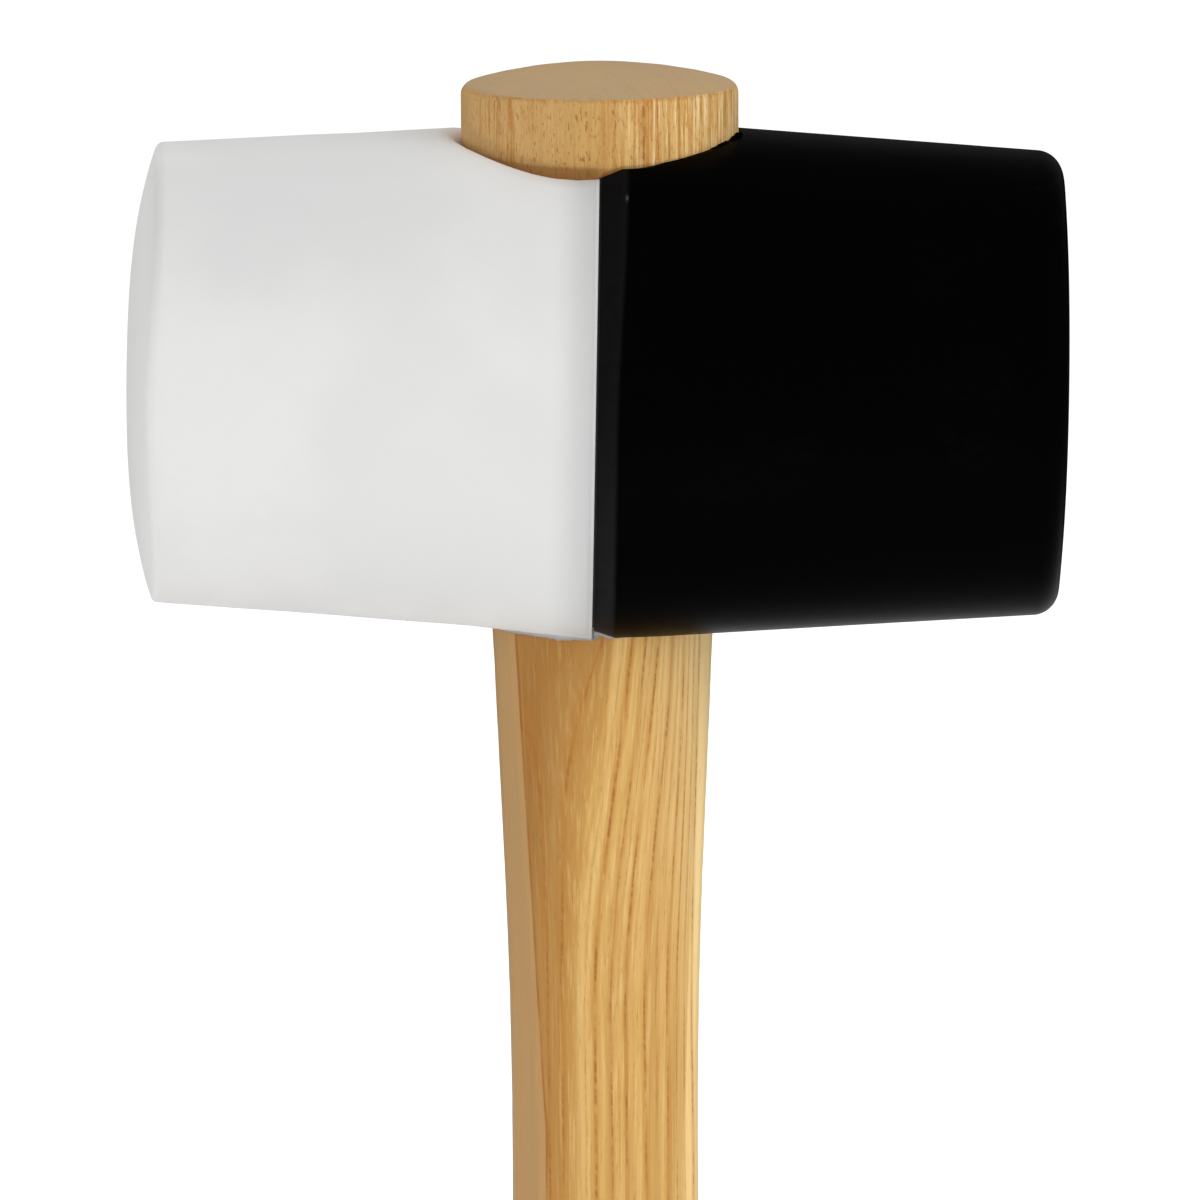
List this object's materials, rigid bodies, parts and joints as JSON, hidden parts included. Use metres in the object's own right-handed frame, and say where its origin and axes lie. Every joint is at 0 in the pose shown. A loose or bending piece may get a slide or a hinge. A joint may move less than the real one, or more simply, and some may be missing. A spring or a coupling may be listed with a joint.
{
  "type": "rubber mallet",
  "caption": "Rubber mallet with a barrel head, white on one half and black on the other, on a slip-through wooden handle with a crowned knob.",
  "frame": {"origin": "centre of the butt's flat end face, on the handle's axis", "axes": "+Z along the handle from the butt to the knob, +X along the head from the white half to the black half, -Y towards the viewer of the picture"},
  "size_m": [0.1631, 0.0892, 0.36],
  "materials": {
    "white_rubber": "smooth moulded rubber, non-marking, slightly cloudy",
    "black_rubber": "smooth moulded rubber, satin",
    "bond_rubber": "cured bond between the two rubbers",
    "wood": "sanded hardwood with a thin clear coat, end grain on the knob's top"
  },
  "bodies": {
    "handle": {"handle": "wood"},
    "head": {"white_half": "white_rubber", "black_half": "black_rubber", "bond_layer": "bond_rubber"}
  },
  "joints": [
    {"name": "head_slide", "type": "slide", "parent": "handle", "child": "head", "axis": [0, 0, -1], "range_m": [0, 0.25]}
  ]
}
